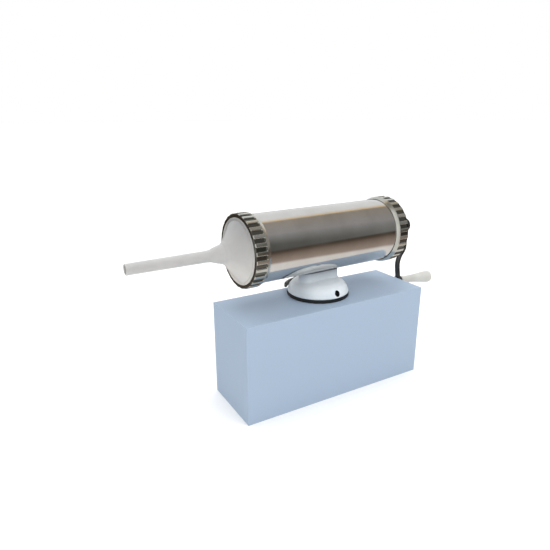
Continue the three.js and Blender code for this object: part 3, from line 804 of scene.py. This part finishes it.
near = ycyl("a", rounded([(0, -34.0), (3.5, -34.0), (3.5, -24.9), (2.6, -24.9), (2.6, -23.3), (3.5, -23.3), (3.5, -4.4), (0, -4.4)],
                         0.3, 3, closed=False))
far = ycyl("c", rounded([(0, 4.4), (3.5, 4.4), (3.5, 49.0), (0, 49.0)], 0.4, 3, closed=False))
mid = ycyl("d", [(0, -5.4), (2.1, -5.4), (2.1, 5.4), (0, 5.4)], 36, cx, cz)
lshaft = join("lever_shaft_skin", [near, mid, far])
cut(lshaft, [cyl("p", 1.55, 0, 25, 24, "z", (0, 46.3, 0))])
shade(lshaft, 40)
done(place(lshaft, TURN), "vacuum_lever", "zinc_steel", "lever_shaft")

V, F, NL, NC = [], [], 60, 32
for i in range(NL):
    u = i / (NL - 1)
    az = rad(90 + 45.6 * u)
    tip = math.sqrt(max(0.0, 1 - max(0.0, (u - 0.93) / 0.0705) ** 2))
    hz = max(0.12, (2.9 + 0.9 * u ** 0.6) * tip)              # half height grows to the thumb end
    hr = max(0.10, (1.75 + 0.25 * u) * (0.35 + 0.65 * tip))
    zc = 8.8 - 0.2 * u
    for k in range(NC):
        t = 2 * math.pi * k / NC
        c_, s_ = math.cos(t), math.sin(t)
        dr = hr * math.copysign(abs(c_) ** 0.55, c_)
        dz = hz * math.copysign(abs(s_) ** 0.55, s_)
        r_ = 46.15 + dr
        V.append((r_ * math.cos(az), r_ * math.sin(az), zc + dz))
for i in range(NL - 1):
    for k in range(NC):
        F.append((i * NC + k, i * NC + (k + 1) % NC, (i + 1) * NC + (k + 1) % NC, (i + 1) * NC + k))
F += [tuple(range(NC - 1, -1, -1)), tuple(range((NL - 1) * NC, NL * NC))]
strip = make("strip", V, F, sharp_deg=50)
hub = ycyl("hub", rounded([(0, 43.5), (6.4, 43.5), (6.4, 48.6), (0, 48.6)], 0.9, 4, closed=False), 64)
lev = join("lever_skin", [hub, strip])
cut(lev, [ycyl("b", [(0, 30), (3.8, 30), (3.8, 60), (0, 60)]), cyl("p", 1.55, 0, 25, 24, "z", (0, 46.3, 0))])
shade(lev, 38)
# the lever wears the darker zinc copy, painted shade
done(place(lev, TURN), "vacuum_lever", "zinc_steel", "lever", look="shaded_lever_zinc")
pin = revolve("lever_pin_skin", rounded([(0, SZ - 5.8), (1.25, SZ - 5.8), (1.25, SZ + 5.8), (0, SZ + 5.8)], 0.3, 3, closed=False), 32, "z",
              (0, 46.3, 0), closed=False)
done(place(pin, TURN), "vacuum_lever", "zinc_steel", "lever_pin")
cl = [(5.8 * math.cos(t), 5.8 * math.sin(t)) for t in np.radians(np.linspace(-240, 60, 50))]
cl += [(2.95 * math.cos(t), 2.95 * math.sin(t)) for t in np.radians(np.linspace(60, -240, 50))]
clip = bevelled("shaft_clip_skin", cl, 1.0, 0.15, 2)
place(clip, Matrix.Translation((0, -0.0246, SZ * MM)))
done(place(clip, TURN), "vacuum_lever", "zinc_steel", "shaft_clip")


# ------------------------------------------------------------------ stage, light, camera
def stage_mat(name, col, rough=0.6):
    m = Mat(name)
    return m.out(srgb(*col), rough, None, 0.0)


def slab(name, x0, x1, y0, y1, z0, z1, mat, bevel=0.0):
    V = [(x, y, z) for z in (z0, z1) for x, y in ((x0, y0), (x1, y0), (x1, y1), (x0, y1))]
    F = [(3, 2, 1, 0), (4, 5, 6, 7), (0, 1, 5, 4), (1, 2, 6, 5), (2, 3, 7, 6), (3, 0, 4, 7)]
    ob = make(name, V, F, smooth=False)
    ob.data.materials.append(mat)
    return ob


plinth = slab("plinth", -141.7, 142.4, -57.9, 40.5, -134.0, 0.0, stage_mat("plinth_paint", (0.62, 0.69, 0.77), 0.55))
place(plinth, Matrix.Rotation(rad(-1.94), 4, "Z"))
floor = slab("floor", -30000, 30000, -30000, 30000, -140.0, -134.0, stage_mat("floor_paint", (0.975, 0.975, 0.975), 0.8))
floor.visible_glossy = False

world = bpy.data.worlds.new("studio")
bpy.context.scene.world = world
world.use_nodes = True
wt = world.node_tree
bg = wt.nodes["Background"]
tc = wt.nodes.new("ShaderNodeTexCoord")
sep = wt.nodes.new("ShaderNodeSeparateXYZ")
wt.links.new(tc.outputs["Generated"], sep.inputs[0])


def gradient(socket, lo, hi, stops):
    """A colour ramp over a direction component."""
    mr = wt.nodes.new("ShaderNodeMapRange")
    mr.inputs["From Min"].default_value, mr.inputs["From Max"].default_value = lo, hi
    wt.links.new(socket, mr.inputs["Value"])
    rp = wt.nodes.new("ShaderNodeValToRGB")
    e = rp.color_ramp.elements
    f = lambda v: (v - lo) / (hi - lo)
    e[0].position, e[0].color = f(stops[0][0]), stops[0][1] + (1,)
    e[1].position, e[1].color = f(stops[-1][0]), stops[-1][1] + (1,)
    for v, c in stops[1:-1]:
        k = e.new(f(v))
        k.color = c + (1,)
    wt.links.new(mr.outputs["Result"], rp.inputs["Fac"])
    return rp.outputs["Color"]


# above the horizon: dark room in front, grey ceiling, a warm lamp strip, a white wall behind
upper = gradient(sep.outputs["Y"], -1.0, 1.0, [
    (-0.95, (0.09, 0.09, 0.085)), (-0.80, (0.12, 0.12, 0.11)), (-0.70, (0.21, 0.21, 0.205)), (-0.50, (0.34, 0.33, 0.33)),
    (-0.10, (0.34, 0.31, 0.28)), (0.17, (0.33, 0.30, 0.26)), (0.22, (0.85, 0.62, 0.36)), (0.30, (0.84, 0.78, 0.68)),
    (0.36, (0.86, 0.87, 0.88)), (1.0, (0.90, 0.91, 0.92))])
# below it: dark brown far floor, then a pale near floor
lower = gradient(sep.outputs["Z"], -1.0, 0.0, [
    (-1.0, (0.92, 0.90, 0.89)), (-0.63, (0.88, 0.84, 0.81)), (-0.56, (0.42, 0.34, 0.29)), (-0.36, (0.30, 0.235, 0.195)),
    (-0.20, (0.19, 0.145, 0.115)), (-0.10, (0.09, 0.068, 0.05)), (0.0, (0.075, 0.065, 0.055))])
side = wt.nodes.new("ShaderNodeMapRange")
side.inputs["From Min"].default_value, side.inputs["From Max"].default_value = -0.02, 0.02
wt.links.new(sep.outputs["Z"], side.inputs["Value"])
both = wt.nodes.new("ShaderNodeMix")
both.data_type = "RGBA"
wt.links.new(side.outputs["Result"], both.inputs["Factor"])
wt.links.new(lower, both.inputs["A"] if both.inputs["A"].type == "RGBA" else both.inputs[6])
wt.links.new(upper, both.inputs["B"] if both.inputs["B"].type == "RGBA" else both.inputs[7])
col_out = [o for o in both.outputs if o.type == "RGBA"][0]


def step(socket, a, b):
    mr = wt.nodes.new("ShaderNodeMapRange")
    mr.inputs["From Min"].default_value, mr.inputs["From Max"].default_value = a, b
    wt.links.new(socket, mr.inputs["Value"])
    return mr.outputs["Result"]


# a white card in front and to the left of the object
card = wt.nodes.new("ShaderNodeMath")
card.operation = "MULTIPLY"
wt.links.new(step(sep.outputs["X"], 0.12, -0.08), card.inputs[0])
wt.links.new(step(sep.outputs["Y"], -0.20, -0.50), card.inputs[1])
lit = wt.nodes.new("ShaderNodeMix")
lit.data_type = "RGBA"
wt.links.new(card.outputs[0], lit.inputs[0])
wt.links.new(col_out, lit.inputs[6])
lit.inputs[7].default_value = (0.93, 0.92, 0.90, 1)
wt.links.new(lit.outputs[2], bg.inputs["Color"])
bg.inputs["Strength"].default_value = 1.0
white = wt.nodes.new("ShaderNodeBackground")
overhead = gradient(sep.outputs["Z"], -1.0, 1.0, [(-1.0, (0.30, 0.30, 0.30)), (0.0, (0.32, 0.32, 0.32)), (0.35, (0.80, 0.80, 0.80)),
                                                  (1.0, (1.0, 1.0, 1.0))])
wt.links.new(overhead, white.inputs["Color"])
white.inputs["Strength"].default_value = 1.34
clear = wt.nodes.new("ShaderNodeBackground")
clear.inputs["Color"].default_value = (1, 1, 1, 1)
clear.inputs["Strength"].default_value = 1.0
lp = wt.nodes.new("ShaderNodeLightPath")
m1 = wt.nodes.new("ShaderNodeMixShader")      # reflections see the gradient, soft light sees white
wt.links.new(lp.outputs["Is Glossy Ray"], m1.inputs[0])
wt.links.new(white.outputs[0], m1.inputs[1])
wt.links.new(bg.outputs[0], m1.inputs[2])
m2 = wt.nodes.new("ShaderNodeMixShader")
wt.links.new(lp.outputs["Is Camera Ray"], m2.inputs[0])
wt.links.new(m1.outputs[0], m2.inputs[1])
wt.links.new(clear.outputs[0], m2.inputs[2])
wt.links.new(m2.outputs[0], wt.nodes["World Output"].inputs["Surface"])


def area(name, loc, target, size, power, color=(1, 1, 1)):
    la = bpy.data.lights.new(name, "AREA")
    la.shape, la.size, la.size_y, la.energy, la.color = "RECTANGLE", size[0], size[1], power, color
    ob = bpy.data.objects.new(name, la)
    ob.location = loc
    ob.rotation_euler = (Vector(target) - Vector(loc)).to_track_quat("-Z", "Y").to_euler()
    bpy.context.scene.collection.objects.link(ob)
    return ob


area("key", (0.5, -0.9, 1.3), (0, 0, 0.05), (1.0, 0.8), 6).visible_glossy = False
area("fill", (-1.3, -0.5, 0.5), (0, 0, 0.05), (0.5, 0.5), 1.0).visible_glossy = False
area("top", (0.1, 0.4, 1.5), (0, 0, 0.05), (1.4, 0.7), 6).visible_glossy = False

AZM, ELV, ROLL, DIST, TX, TY, TZ, FPX = -31.754, 18.173, -0.224, 679.194, -48.758, 35.336, 25.089, 484.053
a, e = rad(AZM), rad(ELV)
back = Vector((math.sin(a) * math.cos(e), -math.cos(a) * math.cos(e), math.sin(e)))
cam_data = bpy.data.cameras.new("camera")
cam_data.sensor_width, cam_data.lens = 36.0, FPX / 550 * 36.0
cam_data.clip_end = 50
cam = bpy.data.objects.new("camera", cam_data)
bpy.context.scene.collection.objects.link(cam)
right = (-back).cross(Vector((0, 0, 1))).normalized()
up = right.cross(-back)
r2 = math.cos(rad(ROLL)) * right + math.sin(rad(ROLL)) * up
u2 = -math.sin(rad(ROLL)) * right + math.cos(rad(ROLL)) * up
rot = Matrix((r2, u2, back)).transposed().to_4x4()
cam.matrix_world = Matrix.Translation((Vector((TX, TY, TZ)) + back * DIST) * MM) @ rot
bpy.context.scene.camera = cam
bpy.context.scene.view_settings.view_transform = "Standard"
